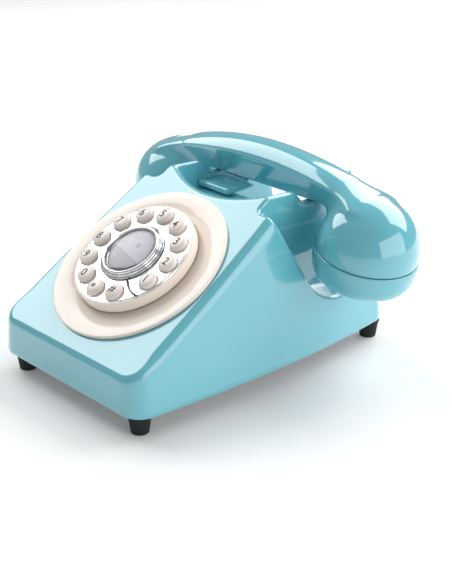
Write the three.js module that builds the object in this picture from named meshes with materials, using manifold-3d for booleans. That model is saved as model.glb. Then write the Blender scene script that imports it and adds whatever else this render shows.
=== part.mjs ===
// A push-button desk telephone with a dial-style keypad, in millimetres.
// +Z is up, the front faces -Y, and the origin is on the table under the middle of the case.
import * as THREE from "three";
import { mergeVertices } from "three/addons/utils/BufferGeometryUtils.js";
import Module from "manifold-3d";

const wasm = await Module();
wasm.setup();

// Driving dimensions.
const GAP = 0.3;

const CASE_LENGTH = 218.4;
const CASE_HALF_FRONT = 69.85;
const CASE_HALF_MIDDLE = 74;
const CASE_HALF_REAR = 67;
const CASE_CORNER = 14;
const CASE_WALL = 2.6;
const CASE_BOTTOM = 14;
const CASE_TOP = 125;
const SIDE_LEAN = 0.00186;
const SKIRT_TOP = 37.5;
const PANEL_TILT = THREE.MathUtils.degToRad(31.8);
const HORN_TIP_UP_PANEL = 146;
const HORN_X = 42.5;
const SPINE_HALF = 46.5;

const SADDLE_Z = 103.6;
const SADDLE_HALF = 13;
const HORN_REAR_Z = 117;
const HORN_REAR_FRONT_Y = 82;
const HORN_REAR_BACK_Y = 90;
const HORN_BACK_Y = 38.6;
const BACK_KNEE = [96, 108];
const BACK_FOOT_Z = 46;
const LIP_Z = 108;
const SHELF_Z = 97;
const SHELF_HALF = 39;
const SCOOP_Z = 72;
const RECESS_RADIUS = 32.7;
const RECESS_Z = 77;

const HANDLE_Y = 60;
const HANDLE_HALF_WIDTH = 15;
const HANDLE_FOOT_HALF = 8;
const HANDLE_FOOT_Z = 104;
const HANDLE_RIDGE_Z = 123.8;
const HANDLE_TOP_Z = 132;
const HANDLE_ARC_RADIUS = 262;
const HANDLE_DIVE_X = 66;
const HANDLE_DIVE = 0.012;
const HANDLE_HALF_SPAN = 89;

const CUP_X = 87.8;
const CUP_Z = 79.8;
const CUP_SEAM_RADIUS = 32.3;
const CUP_RISE = 3.1;
const CUP_RADIUS = Math.hypot(CUP_SEAM_RADIUS, CUP_RISE);
const CUP_BACK_Y = 89.3;
const CUP_SOCKET_Z = 90;
const CUP_TILT = THREE.MathUtils.degToRad(12);
const CAP_RADIUS = 33.2;
const CAP_HEIGHT = 22.9;
const CAP_ROUNDNESS = 0.54;
const CAP_HOLE_RADIUS = 1.2;
const CAP_HOLE_RING = 8;
const WEIGHT = { x: 30, y: 6, bottom: 109.2, top: 115 };
const SHELL_WALL = 2.4;

const DIAL_UP_PANEL = 71.1;
const PLATE_RADIUS = 58.7;
const DRUM_RADIUS = 40.4;
const DRUM_WALL = 1.2;
const FACE_HEIGHT = 10;
const KEY_RING_RADIUS = 31.4;
const KEY_RADIUS = 5.8;
const KEY_HOLE_RADIUS = 6.2;
const KEY_FLANGE_RADIUS = 6.9;
const KEY_STEM_RADIUS = 2.6;
const KEY_START = -25;
const KEY_STEP = 29;
const KEY_TRAVEL = 1.6;
const HUB_RADIUS = 21.5;
const HUB_WALL = 4.2;
const PLATE_TOP = 2.4;
const DRUM_TOP = 8.9;
const MAT_TOP = 1.6;
const MAT_RADIUS = 35.4;
const PLATE_HOLE_RADIUS = 36.4;
const KEY_NAMES = ["1", "2", "3", "4", "5", "6", "7", "8", "9", "0", "star", "hash"];

const FOOT_X = 56.8;
const FOOT_FRONT_Y = -97;
const FOOT_REAR_Y = 100.5;
const SCREW_X = 46;
const SCREW_FRONT_Y = -66;
const SCREW_REAR_Y = 84;
const BASE_TOP = CASE_BOTTOM + GAP + 2.5;
const BOSS_TOP = 66;

const PADDLE = { x0: -38, x1: -9, y0: 32, y1: 56, bottom: SHELF_Z + 1.4, top: SHELF_Z + 4 };
const TOE = { x0: -34, x1: -13, y0: 52.5 };
const STEM = { x0: -27, x1: -20, y0: 35, y1: 41, bottom: 34.3 };
const BOARD = { x: 38, y0: 2, y1: 72, bottom: 20.5, top: 22.1 };
const RINGER = { radius: 13, x: 24, y: -20, top: 28 };
const BALLAST = { x: 36, y0: -86, y1: -48, top: 25 };

const SOCKET = { width: 11.5, height: 9.5, depth: 15, plugWidth: 7.8, plugHeight: 6.4, plugDepth: 12 };
const LINE_SOCKET = { x: 28, z: 30 };
const BASE_SOCKET = { wallX: 70.5, y: -2, z: 29 };
const SWITCH = { x: -28, z: 30, slotHalf: 6, slotHalfHeight: 2.2, knobHalf: 2.2, knobHalfHeight: 1.7 };

// Materials.
const plastic = (color, roughness) =>
  new THREE.MeshStandardMaterial({ color, roughness, metalness: 0 });
const metal = (color, roughness) =>
  new THREE.MeshStandardMaterial({ color, roughness, metalness: 1 });
const turquoise = plastic(0x7cc7d2, 0.12);
const cream = plastic(0xf3e4d4, 0.25);
const keyCream = plastic(0xe8dcd0, 0.3);
const black = plastic(0x1b1b1d, 0.6);
const rubber = plastic(0x121214, 0.85);
const siliconeGrey = plastic(0x9a9c9e, 0.8);
const boardGreen = plastic(0x2f6a45, 0.5);
const card = plastic(0xdcd6e6, 0.6);
const clear = plastic(0xf4f6f8, 0.05);
const chrome = metal(0xe8e8ea, 0.06);
const steel = metal(0x9c9ea2, 0.35);

// A closed geometry as a manifold-3d solid.
function solid(geometry) {
  const bare = geometry.clone();
  bare.deleteAttribute("normal");
  bare.deleteAttribute("uv");
  const merged = mergeVertices(bare, 1e-3);
  return new wasm.Manifold(
    new wasm.Mesh({
      numProp: 3,
      vertProperties: merged.attributes.position.array,
      triVerts: new Uint32Array(merged.index.array),
    }),
  );
}

// A manifold-3d solid as a geometry.
function geometryOf(made) {
  const mesh = made.getMesh();
  const positions = new Float32Array(mesh.numVert * 3);
  for (let i = 0; i < mesh.numVert; i++) {
    const start = i * mesh.numProp;
    positions.set(mesh.vertProperties.subarray(start, start + 3), i * 3);
  }
  const geometry = new THREE.BufferGeometry();
  geometry.setAttribute("position", new THREE.BufferAttribute(positions, 3));
  geometry.setIndex(new THREE.BufferAttribute(mesh.triVerts, 1));
  return geometry;
}

function unite(first, ...others) {
  return others.reduce((sum, other) => sum.add(other), first);
}

// A prism of an outline whose own axes lie along two of the row's axes.
function prism(points, from, to, basis) {
  const geometry = new THREE.ExtrudeGeometry(
    new THREE.Shape(points.map(([a, b]) => new THREE.Vector2(a, b))),
    { depth: to - from, bevelEnabled: false },
  );
  geometry.translate(0, 0, from);
  return solid(geometry.applyMatrix4(basis));
}

const AXIS_X = new THREE.Vector3(1, 0, 0);
const AXIS_Y = new THREE.Vector3(0, 1, 0);
const AXIS_Z = new THREE.Vector3(0, 0, 1);
const ALONG_X = new THREE.Matrix4().makeBasis(AXIS_Y, AXIS_Z, AXIS_X);
const ALONG_Z = new THREE.Matrix4();

function box(x0, x1, y0, y1, z0, z1) {
  const geometry = new THREE.BoxGeometry(x1 - x0, y1 - y0, z1 - z0);
  return solid(geometry.translate((x0 + x1) / 2, (y0 + y1) / 2, (z0 + z1) / 2));
}

// A solid turned about Z from a profile of [radius, height] points, with its base at the given place.
function turned(profile, segments, x = 0, y = 0, z = 0) {
  const geometry = new THREE.LatheGeometry(
    profile.map(([r, h]) => new THREE.Vector2(r, h)),
    segments,
  );
  return solid(geometry.rotateX(Math.PI / 2).translate(x, y, z));
}

function pillar(radius, x, y, z0, z1, segments = 16) {
  const profile = [
    [0, z0],
    [radius, z0],
    [radius, z1],
    [0, z1],
  ];
  return turned(profile, segments, x, y);
}

// An outline moved inwards by the given distance; its points run anticlockwise.
function insetOutline(points, distance) {
  const edges = points.map(([x0, y0], i) => {
    const [x1, y1] = points[(i + 1) % points.length];
    const length = Math.hypot(x1 - x0, y1 - y0);
    const normal = [-(y1 - y0) / length, (x1 - x0) / length];
    return { normal, offset: normal[0] * x0 + normal[1] * y0 + distance };
  });
  return edges.map(({ normal: [c, d], offset: q }, i) => {
    const before = edges[(i + edges.length - 1) % edges.length];
    const [a, b] = before.normal;
    const det = a * d - b * c;
    return [
      (before.offset * d - b * q) / det,
      (a * q - before.offset * c) / det,
    ];
  });
}

function arc(cx, cy, radius, fromDegrees, toDegrees, steps) {
  return Array.from({ length: steps + 1 }, (_, i) => {
    const degrees = fromDegrees + ((toDegrees - fromDegrees) * i) / steps;
    const angle = THREE.MathUtils.degToRad(degrees);
    return [cx + radius * Math.cos(angle), cy + radius * Math.sin(angle)];
  });
}

// Case. Its outside is a leaning wall round a bowed plan, cut by a side profile, two recesses and the cradle.
const FRONT_Y = -CASE_LENGTH / 2;
const REAR_Y = CASE_LENGTH / 2;
const panelY = (up) => FRONT_Y + up * Math.cos(PANEL_TILT);
const panelZ = (up) => SKIRT_TOP + up * Math.sin(PANEL_TILT);
const HORN_TIP_Y = panelY(HORN_TIP_UP_PANEL);
const HORN_TIP_Z = panelZ(HORN_TIP_UP_PANEL);

// The case in plan: straight ends, round corners and sides that bow out to their widest in the middle.
function planOutline() {
  const rightFront = REAR_Y - CASE_CORNER;
  const bow = (share) =>
    share < 0
      ? THREE.MathUtils.lerp(CASE_HALF_MIDDLE, CASE_HALF_FRONT, share * share)
      : THREE.MathUtils.lerp(CASE_HALF_MIDDLE, CASE_HALF_REAR, share * share);
  const side = [-0.75, -0.5, -0.25, 0, 0.25, 0.5, 0.75].map((share) => [
    bow(share),
    share * rightFront,
  ]);
  const frontCorner = arc(
    CASE_HALF_FRONT - CASE_CORNER,
    FRONT_Y + CASE_CORNER,
    CASE_CORNER,
    -90,
    0,
    6,
  );
  const rearCorner = arc(
    CASE_HALF_REAR - CASE_CORNER,
    REAR_Y - CASE_CORNER,
    CASE_CORNER,
    0,
    90,
    6,
  );
  const right = [...frontCorner, ...side, ...rearCorner];
  const left = right.map(([x, y]) => [-x, y]).reverse();
  return [...right, ...left];
}

function leaningWalls(inset, bottom) {
  const geometry = new THREE.ExtrudeGeometry(
    new THREE.Shape(
      insetOutline(planOutline(), inset).map(
        ([x, y]) => new THREE.Vector2(x, y),
      ),
    ),
    { depth: CASE_TOP - bottom, bevelEnabled: false },
  );
  geometry.translate(0, 0, bottom);
  const position = geometry.attributes.position;
  for (let i = 0; i < position.count; i++) {
    const lean = 1 - SIDE_LEAN * (position.getZ(i) - CASE_BOTTOM);
    position.setX(i, position.getX(i) * lean);
  }
  return solid(geometry);
}

// The case from the side: skirt, keypad panel, front horn, saddle, rear horn and back.
const sideProfile = [
  [FRONT_Y, CASE_BOTTOM],
  [REAR_Y, CASE_BOTTOM],
  [REAR_Y, BACK_FOOT_Z],
  BACK_KNEE,
  [HORN_REAR_BACK_Y, HORN_REAR_Z],
  [HORN_REAR_FRONT_Y, HORN_REAR_Z],
  [HANDLE_Y + SADDLE_HALF, SADDLE_Z],
  [HANDLE_Y - SADDLE_HALF, SADDLE_Z],
  [HORN_BACK_Y, HORN_TIP_Z - 1.5],
  [HORN_TIP_Y, HORN_TIP_Z],
  [FRONT_Y, SKIRT_TOP],
];

// The recess beside the spine that a handset cup hangs in: round below and open above and behind.
const recessProfile = [
  ...arc(HANDLE_Y, RECESS_Z, RECESS_RADIUS, 207, 300, 8),
  [112, 68],
  [130, 68],
  [130, 135],
  [-10, 135],
];

// How high the lip of the panel and the floor of the cradle lie at a distance from the middle.
const lipZ = (x) => LIP_Z + (HORN_TIP_Z - LIP_Z) * (x / HORN_X) ** 2;
const shelfZ = (x) => (Math.abs(x) > SHELF_HALF ? HORN_TIP_Z - 1 : SHELF_Z);

// The cradle's hollow in front of the handle, as a grid of columns cut down to the shelf.
function cradleHollow(inset) {
  const half = [10, 20, 30, SHELF_HALF, HORN_X];
  const xs = [...half.map((x) => -x).reverse(), 0, ...half];
  const rows = [
    (x) => [-40, lipZ(x) - inset],
    (x) => [yOfLip(x) + 1.8 + inset, lipZ(x) - inset],
    (x) => [yOfLip(x) + 10 + inset, shelfZ(x) - inset],
    (x) => [44 + inset, shelfZ(x) - inset],
  ];
  const yOfLip = (x) =>
    FRONT_Y + (lipZ(x) - SKIRT_TOP) / Math.tan(PANEL_TILT);
  const floor = xs.map((x) =>
    rows.map((row) => [x * (1 + inset / HORN_X), ...row(x)]),
  );
  return columnsAbove(floor, CASE_TOP + 10);
}

// A closed solid between a grid of floor points, given as columns along X, and a flat top.
function columnsAbove(floor, top) {
  const across = floor.length;
  const along = floor[0].length;
  const positions = [];
  for (const level of [0, 1])
    for (const column of floor)
      for (const [x, y, z] of column) positions.push(x, y, level ? top : z);
  const at = (level, i, j) => level * across * along + i * along + j;
  const index = [];
  const quad = (a, b, c, d) => index.push(a, b, c, a, c, d);
  for (let i = 0; i + 1 < across; i++)
    for (let j = 0; j + 1 < along; j++) {
      quad(at(0, i, j), at(0, i, j + 1), at(0, i + 1, j + 1), at(0, i + 1, j));
      quad(at(1, i, j), at(1, i + 1, j), at(1, i + 1, j + 1), at(1, i, j + 1));
    }
  for (let i = 0; i + 1 < across; i++) {
    const end = along - 1;
    quad(at(0, i, 0), at(0, i + 1, 0), at(1, i + 1, 0), at(1, i, 0));
    quad(at(0, i, end), at(1, i, end), at(1, i + 1, end), at(0, i + 1, end));
  }
  for (let j = 0; j + 1 < along; j++) {
    const end = across - 1;
    quad(at(0, 0, j), at(1, 0, j), at(1, 0, j + 1), at(0, 0, j + 1));
    quad(at(0, end, j), at(0, end, j + 1), at(1, end, j + 1), at(1, end, j));
  }
  const geometry = new THREE.BufferGeometry();
  geometry.setAttribute(
    "position",
    new THREE.Float32BufferAttribute(positions, 3),
  );
  geometry.setIndex(index);
  return solid(geometry);
}

// The scoop behind the shelf that fingers reach into when the telephone is carried.
const scoopProfile = [
  [42, 135],
  [44, SHELF_Z],
  [52, SCOOP_Z + 4],
  [60, SCOOP_Z],
  [130, SCOOP_Z - 8],
  [130, 135],
];

// The case as one solid with every face moved inwards by inset.
function caseBlock(inset, bottom) {
  const profile = insetOutline(sideProfile, inset);
  profile[0][1] = bottom;
  profile[1][1] = bottom;
  const recess = insetOutline(recessProfile, -inset);
  const scoop = insetOutline(scoopProfile, -inset);
  const recessStart = SPINE_HALF - inset;
  const hornInside = 38 + inset;
  return leaningWalls(inset, bottom)
    .intersect(prism(profile, -100, 100, ALONG_X))
    .subtract(prism(recess, recessStart, 100, ALONG_X))
    .subtract(prism(recess, -100, -recessStart, ALONG_X))
    .subtract(cradleHollow(inset))
    .subtract(prism(scoop, -hornInside, hornInside, ALONG_X));
}

// The middle of the dial on the panel.
const dialY = panelY(DIAL_UP_PANEL);
const dialZ = panelZ(DIAL_UP_PANEL);

const screwPlaces = [
  [-SCREW_X, SCREW_FRONT_Y],
  [SCREW_X, SCREW_FRONT_Y],
  [-SCREW_X, SCREW_REAR_Y],
  [SCREW_X, SCREW_REAR_Y],
];

// A modular socket that opens towards local +Y, with its mouth at the origin.
function socketBlock({ width, height, depth, plugWidth, plugHeight, plugDepth }) {
  const block = box(-width / 2, width / 2, -depth, 0, -height / 2, height / 2);
  return block.subtract(
    box(-plugWidth / 2, plugWidth / 2, -plugDepth, 1, -plugHeight / 2, plugHeight / 2),
  );
}

function placed(made, x, y, z, turnZ = 0, turnX = 0) {
  const matrix = new THREE.Matrix4()
    .makeTranslation(x, y, z)
    .multiply(new THREE.Matrix4().makeRotationZ(turnZ))
    .multiply(new THREE.Matrix4().makeRotationX(turnX));
  return solid(geometryOf(made).applyMatrix4(matrix));
}

function upperCase() {
  const outside = caseBlock(0, CASE_BOTTOM);
  const inside = caseBlock(CASE_WALL, CASE_BOTTOM - 4);
  const bosses = screwPlaces.map(([x, y]) =>
    pillar(4, x, y, BASE_TOP + GAP, BOSS_TOP).intersect(outside),
  );
  const pilots = screwPlaces.map(([x, y]) => pillar(1.4, x, y, CASE_BOTTOM, 30));
  const dialHole = placed(pillar(36, 0, 0, -8, 4, 40), 0, dialY, dialZ, 0, PANEL_TILT);
  const margin = GAP * 2;
  const stemSlot = box(
    STEM.x0 - margin,
    STEM.x1 + margin,
    STEM.y0 - margin,
    STEM.y1 + margin,
    SHELF_Z - 10,
    SHELF_Z + 2,
  );
  const socketHole = box(
    -SOCKET.width / 2 - GAP,
    SOCKET.width / 2 + GAP,
    -12,
    12,
    -SOCKET.height / 2 - GAP,
    SOCKET.height / 2 + GAP,
  );
  const switchSlot = box(
    -SWITCH.slotHalf,
    SWITCH.slotHalf,
    -12,
    12,
    -SWITCH.slotHalfHeight,
    SWITCH.slotHalfHeight,
  );
  const cuts = [
    ...pilots,
    dialHole,
    stemSlot,
    placed(socketHole, LINE_SOCKET.x, REAR_Y, LINE_SOCKET.z),
    placed(socketHole, -BASE_SOCKET.wallX, BASE_SOCKET.y, BASE_SOCKET.z, Math.PI / 2),
    placed(switchSlot, SWITCH.x, REAR_Y, SWITCH.z),
  ];
  return cuts.reduce(
    (left, cut) => left.subtract(cut),
    unite(outside.subtract(inside), ...bosses),
  );
}

// Base plate: a flat steel tray inside the skirt, with pegs that hold the main board.
function basePlate() {
  const outline = insetOutline(planOutline(), CASE_WALL + 0.8);
  const plate = prism(outline, CASE_BOTTOM + GAP, BASE_TOP, ALONG_Z);
  const pegs = [-1, 1].flatMap((side) =>
    [BOARD.y0 + 5, BOARD.y1 - 5].map((y) =>
      pillar(3, side * (BOARD.x - 5), y, BASE_TOP - 1, BOARD.bottom - GAP, 8),
    ),
  );
  const holes = screwPlaces.map(([x, y]) => pillar(1.9, x, y, 10, BASE_TOP + 1));
  return holes.reduce((left, hole) => left.subtract(hole), unite(plate, ...pegs));
}

// A tapered rubber foot pushed in under a corner of the case.
function foot() {
  const profile = [
    [0, 0],
    [5.4, 0],
    [6.2, 1],
    [7.4, CASE_BOTTOM - GAP],
    [0, CASE_BOTTOM - GAP],
  ];
  return turned(profile, 16);
}

// A screw that holds the base plate to a boss of the case.
function caseScrew() {
  const profile = [
    [0, CASE_BOTTOM - 1.8],
    [2.6, CASE_BOTTOM - 1.8],
    [3.2, CASE_BOTTOM - 0.9],
    [3.2, CASE_BOTTOM],
    [1.1, CASE_BOTTOM],
    [1.1, 27],
    [0, 28],
  ];
  return turned(profile, 8);
}

// Dial. Heights here are above the panel.
function ring(inner, outer, z0, z1, segments) {
  const profile = [
    [inner, z0],
    [outer, z0],
    [outer, z1],
    [inner, z1],
    [inner, z0],
  ];
  return turned(profile, segments);
}

const keyPlaces = KEY_NAMES.map((_, i) => {
  const angle = THREE.MathUtils.degToRad(KEY_START + KEY_STEP * i);
  return [KEY_RING_RADIUS * Math.cos(angle), KEY_RING_RADIUS * Math.sin(angle)];
});

function withKeyHoles(made) {
  return keyPlaces.reduce(
    (left, [x, y]) => left.subtract(pillar(KEY_HOLE_RADIUS, x, y, 0, 12, 14)),
    made,
  );
}

function keypadDrum() {
  const profile = [
    [0, DRUM_TOP - 2],
    [DRUM_RADIUS - DRUM_WALL, DRUM_TOP - 2],
    [DRUM_RADIUS - DRUM_WALL, PLATE_TOP + GAP],
    [DRUM_RADIUS, PLATE_TOP + GAP],
    [DRUM_RADIUS, DRUM_TOP],
    [0, DRUM_TOP],
  ];
  return withKeyHoles(turned(profile, 40));
}

function drumFace() {
  return withKeyHoles(pillar(DRUM_RADIUS - DRUM_WALL, 0, 0, DRUM_TOP + GAP, FACE_HEIGHT, 40));
}

// A key: a domed cap, a flange that stops it under the drum and a stem that presses the mat.
function keyCap() {
  const flange = DRUM_TOP - 2 - GAP;
  const profile = [
    [0, MAT_TOP + KEY_TRAVEL + GAP],
    [KEY_STEM_RADIUS, MAT_TOP + KEY_TRAVEL + GAP],
    [KEY_STEM_RADIUS, flange - 1],
    [KEY_FLANGE_RADIUS, flange - 1],
    [KEY_FLANGE_RADIUS, flange],
    [KEY_RADIUS, flange],
    [KEY_RADIUS, FACE_HEIGHT + 1.6],
    [KEY_RADIUS - 0.7, FACE_HEIGHT + 2.7],
    [KEY_RADIUS - 2.6, FACE_HEIGHT + 3.4],
    [0, FACE_HEIGHT + 3.6],
  ];
  return turned(profile, 14);
}

// The chrome ring round the number card.
function hubRing() {
  const base = FACE_HEIGHT + GAP;
  const profile = [
    [HUB_RADIUS - HUB_WALL, base],
    [HUB_RADIUS, base],
    [HUB_RADIUS, base + 1.2],
    [HUB_RADIUS - 1.4, base + 2],
    [HUB_RADIUS - 2, base + 3.6],
    [HUB_RADIUS - 3.2, base + 4.2],
    [HUB_RADIUS - HUB_WALL, base + 3.8],
    [HUB_RADIUS - HUB_WALL, base],
  ];
  return turned(profile, 40);
}

// The clear domed window over the number card.
function hubLens() {
  const radius = HUB_RADIUS - HUB_WALL - GAP;
  const base = FACE_HEIGHT + 1.3;
  const profile = [
    [0, base],
    [radius, base],
    [radius, base + 2],
    [radius * 0.8, base + 2.7],
    [radius * 0.45, base + 3.2],
    [0, base + 3.4],
  ];
  return turned(profile, 32);
}

// The stop: a thin bent wire lying between the first key and the last.
function fingerStop() {
  const height = FACE_HEIGHT + GAP + 0.7;
  const end = (radius, degrees) => {
    const angle = THREE.MathUtils.degToRad(degrees);
    return new THREE.Vector3(radius * Math.cos(angle), radius * Math.sin(angle), height);
  };
  const path = new THREE.QuadraticBezierCurve3(end(23, -52), end(32, -50), end(38.4, -40));
  const section = new THREE.Shape().absarc(0, 0, 0.7, 0, 2 * Math.PI);
  return solid(
    new THREE.ExtrudeGeometry(section, {
      extrudePath: path,
      steps: 8,
      curveSegments: 4,
      bevelEnabled: false,
    }),
  );
}

// Handset. The top of the handle is an arc that dives into the balls; its underside is flat.
function handleBar(wall) {
  const foot = HANDLE_FOOT_HALF - wall;
  const half = HANDLE_HALF_WIDTH - wall;
  const crown = HANDLE_TOP_Z - wall;
  const section = [
    [HANDLE_Y - foot, HANDLE_FOOT_Z + wall],
    [HANDLE_Y + foot, HANDLE_FOOT_Z + wall],
    [HANDLE_Y + half, HANDLE_RIDGE_Z],
    [HANDLE_Y + half * 0.86, HANDLE_RIDGE_Z + (crown - HANDLE_RIDGE_Z) * 0.55],
    [HANDLE_Y + half * 0.5, HANDLE_RIDGE_Z + (crown - HANDLE_RIDGE_Z) * 0.88],
    [HANDLE_Y, crown],
    [HANDLE_Y - half * 0.5, HANDLE_RIDGE_Z + (crown - HANDLE_RIDGE_Z) * 0.88],
    [HANDLE_Y - half * 0.86, HANDLE_RIDGE_Z + (crown - HANDLE_RIDGE_Z) * 0.55],
    [HANDLE_Y - half, HANDLE_RIDGE_Z],
  ];
  const geometry = new THREE.ExtrudeGeometry(
    new THREE.Shape(section.map(([y, z]) => new THREE.Vector2(y, z))),
    { depth: 2 * HANDLE_HALF_SPAN, steps: 12, bevelEnabled: false },
  );
  geometry.translate(0, 0, -HANDLE_HALF_SPAN).applyMatrix4(ALONG_X);
  const position = geometry.attributes.position;
  for (let i = 0; i < position.count; i++) {
    const x = position.getX(i);
    const z = position.getZ(i);
    const sag = HANDLE_ARC_RADIUS - Math.sqrt(HANDLE_ARC_RADIUS ** 2 - x * x);
    const dive = HANDLE_DIVE * Math.max(0, Math.abs(x) - HANDLE_DIVE_X) ** 2;
    const share = (z - HANDLE_FOOT_Z) / (HANDLE_TOP_Z - HANDLE_FOOT_Z);
    position.setZ(i, z - (sag + dive) * share);
  }
  return solid(geometry);
}

// A cup's own frame: its origin is the middle of the seam and local -Z is where the cap faces.
function inCupFrame(made, side) {
  const matrix = new THREE.Matrix4()
    .makeTranslation(side * CUP_X, HANDLE_Y, CUP_Z)
    .multiply(new THREE.Matrix4().makeRotationY(side * CUP_TILT));
  return solid(geometryOf(made).applyMatrix4(matrix));
}

// The half ball above the seam.
function cupDome(wall) {
  const radius = CUP_RADIUS - wall;
  const dome = arc(0, CUP_RISE, radius, -Math.asin(CUP_RISE / radius) * 57.3, 90, 7);
  const from = wall > 0 ? -6 : GAP / 2;
  return turned([[0, from], [dome[0][0], from], ...dome.slice(1, -1), [0, CUP_RISE + radius]], 28);
}

// The handle and its two half balls as one hollow shell, open below for the caps.
function handsetBody() {
  const outside = unite(handleBar(0), inCupFrame(cupDome(0), -1), inCupFrame(cupDome(0), 1));
  const hollow = unite(
    handleBar(SHELL_WALL),
    inCupFrame(cupDome(SHELL_WALL), -1),
    inCupFrame(cupDome(SHELL_WALL), 1),
  );
  const socketHole = box(
    -SOCKET.width / 2 - GAP,
    SOCKET.width / 2 + GAP,
    -SOCKET.depth,
    CUP_RADIUS,
    -SOCKET.height / 2 - GAP,
    SOCKET.height / 2 + GAP,
  );
  return outside
    .subtract(hollow)
    .subtract(placed(socketHole, -CUP_X, CUP_BACK_Y, CUP_SOCKET_Z));
}

// A cap's half outline: a quarter super-ellipse from the middle of its face out to the seam.
function capOutline(wall) {
  return Array.from({ length: 10 }, (_, i) => {
    const angle = (i / 9) * (Math.PI / 2);
    return [
      (CAP_RADIUS - wall) * Math.sin(angle) ** CAP_ROUNDNESS,
      -(CAP_HEIGHT - wall) * Math.cos(angle) ** CAP_ROUNDNESS - GAP / 2,
    ];
  });
}

// A cap: a bowl with a ring of sound holes through its face.
function cupCap(holes) {
  const shell = turned([...capOutline(0), ...capOutline(SHELL_WALL).reverse()], 28);
  const places = Array.from({ length: holes }, (_, i) => {
    const angle = (2 * Math.PI * i) / holes;
    return [CAP_HOLE_RING * Math.cos(angle), CAP_HOLE_RING * Math.sin(angle)];
  });
  return places.reduce(
    (left, [x, y]) =>
      left.subtract(pillar(CAP_HOLE_RADIUS, x, y, -CAP_HEIGHT - 1, -CAP_HEIGHT + 4, 8)),
    shell,
  );
}

// Scene graph.
const phone = new THREE.Group();

function add(name, made, material, parent = phone) {
  const mesh = new THREE.Mesh(geometryOf(made), material);
  mesh.name = name;
  parent.add(mesh);
  return mesh;
}

add("upper_case", upperCase(), turquoise);
add("base_plate", basePlate(), steel);
const footPlaces = {
  foot_front_left: [-FOOT_X, FOOT_FRONT_Y],
  foot_front_right: [FOOT_X, FOOT_FRONT_Y],
  foot_rear_left: [-FOOT_X, FOOT_REAR_Y],
  foot_rear_right: [FOOT_X, FOOT_REAR_Y],
};
for (const [name, [x, y]] of Object.entries(footPlaces))
  add(name, foot(), rubber).position.set(x, y, 0);
screwPlaces.forEach(([x, y], i) =>
  add(`case_screw_${i + 1}`, caseScrew(), steel).position.set(x, y, 0),
);

const dial = new THREE.Group();
dial.position.set(0, dialY, dialZ);
dial.rotation.x = PANEL_TILT;
phone.add(dial);
add("dial_plate", ring(PLATE_HOLE_RADIUS, PLATE_RADIUS, GAP, PLATE_TOP, 56), cream, dial);
add("keypad_drum", keypadDrum(), cream, dial);
add("drum_face", drumFace(), chrome, dial);
add("keypad_mat", pillar(MAT_RADIUS, 0, 0, MAT_TOP - 2, MAT_TOP, 32), siliconeGrey, dial);
add(
  "keypad_board",
  pillar(MAT_RADIUS - 0.9, 0, 0, MAT_TOP - 4, MAT_TOP - 2 - GAP, 32),
  boardGreen,
  dial,
);
KEY_NAMES.forEach((name, i) =>
  add(`key_${name}`, keyCap(), keyCream, dial).position.set(...keyPlaces[i], 0),
);
add("finger_stop", fingerStop(), chrome, dial);
add("hub_ring", hubRing(), chrome, dial);
const cardRadius = HUB_RADIUS - HUB_WALL - GAP;
add("number_card", pillar(cardRadius, 0, 0, FACE_HEIGHT + GAP, FACE_HEIGHT + 0.9, 32), card, dial);
add("hub_lens", hubLens(), clear, dial);

// Hook: a paddle in the cradle whose toe the handle holds down, on a stem that works the switch.
function hookPaddle() {
  const toe = HANDLE_FOOT_Z - 0.4;
  return unite(
    box(PADDLE.x0, PADDLE.x1, PADDLE.y0, PADDLE.y1, PADDLE.bottom, PADDLE.top),
    box(TOE.x0, TOE.x1, TOE.y0, PADDLE.y1, PADDLE.bottom, toe),
    box(STEM.x0, STEM.x1, STEM.y0, STEM.y1, STEM.bottom, PADDLE.top - 1),
  );
}
add("hook_paddle", hookPaddle(), turquoise);
add(
  "hook_switch",
  box(STEM.x0 - 2, STEM.x1 + 2, STEM.y0 - 1, STEM.y1 + 1, BOARD.top + GAP, STEM.bottom - GAP),
  black,
);
add(
  "main_board",
  box(-BOARD.x, BOARD.x, BOARD.y0, BOARD.y1, BOARD.bottom, BOARD.top),
  boardGreen,
);
add("ringer", pillar(RINGER.radius, RINGER.x, RINGER.y, BASE_TOP + GAP, RINGER.top, 24), black);
add(
  "ballast_plate",
  box(-BALLAST.x, BALLAST.x, BALLAST.y0, BALLAST.y1, BASE_TOP + GAP, BALLAST.top),
  steel,
);

const lineSocket = add("line_socket", socketBlock(SOCKET), black);
lineSocket.position.set(LINE_SOCKET.x, REAR_Y - 0.5, LINE_SOCKET.z);
const baseSocket = add("base_socket", socketBlock(SOCKET), black);
baseSocket.position.set(-BASE_SOCKET.wallX, BASE_SOCKET.y, BASE_SOCKET.z);
baseSocket.rotation.z = Math.PI / 2;

// The ringer switch: a slider through the rear wall with a flange behind it.
function ringerSwitch() {
  return unite(
    box(-SWITCH.knobHalf, SWITCH.knobHalf, -4, -GAP, -SWITCH.knobHalfHeight, SWITCH.knobHalfHeight),
    box(-6.5, 6.5, -5, -3.4, -3.2, 3.2),
  );
}
add("ringer_switch", ringerSwitch(), black).position.set(SWITCH.x, REAR_Y, SWITCH.z);

add("handset_body", handsetBody(), turquoise);
add("mouth_cap", inCupFrame(cupCap(6), -1), turquoise);
add("ear_cap", inCupFrame(cupCap(5), 1), turquoise);
const capsule = (radius) => pillar(radius, 0, 0, -CAP_HEIGHT + 5, -CAP_HEIGHT + 14, 24);
add("microphone", inCupFrame(capsule(12), -1), steel);
add("receiver", inCupFrame(capsule(17), 1), steel);
add(
  "handset_weight",
  box(-WEIGHT.x, WEIGHT.x, HANDLE_Y - WEIGHT.y, HANDLE_Y + WEIGHT.y, WEIGHT.bottom, WEIGHT.top),
  steel,
);
add("handset_socket", socketBlock(SOCKET), black).position.set(
  -CUP_X,
  CUP_BACK_Y,
  CUP_SOCKET_Z,
);

export default phone;
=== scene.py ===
import math

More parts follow.
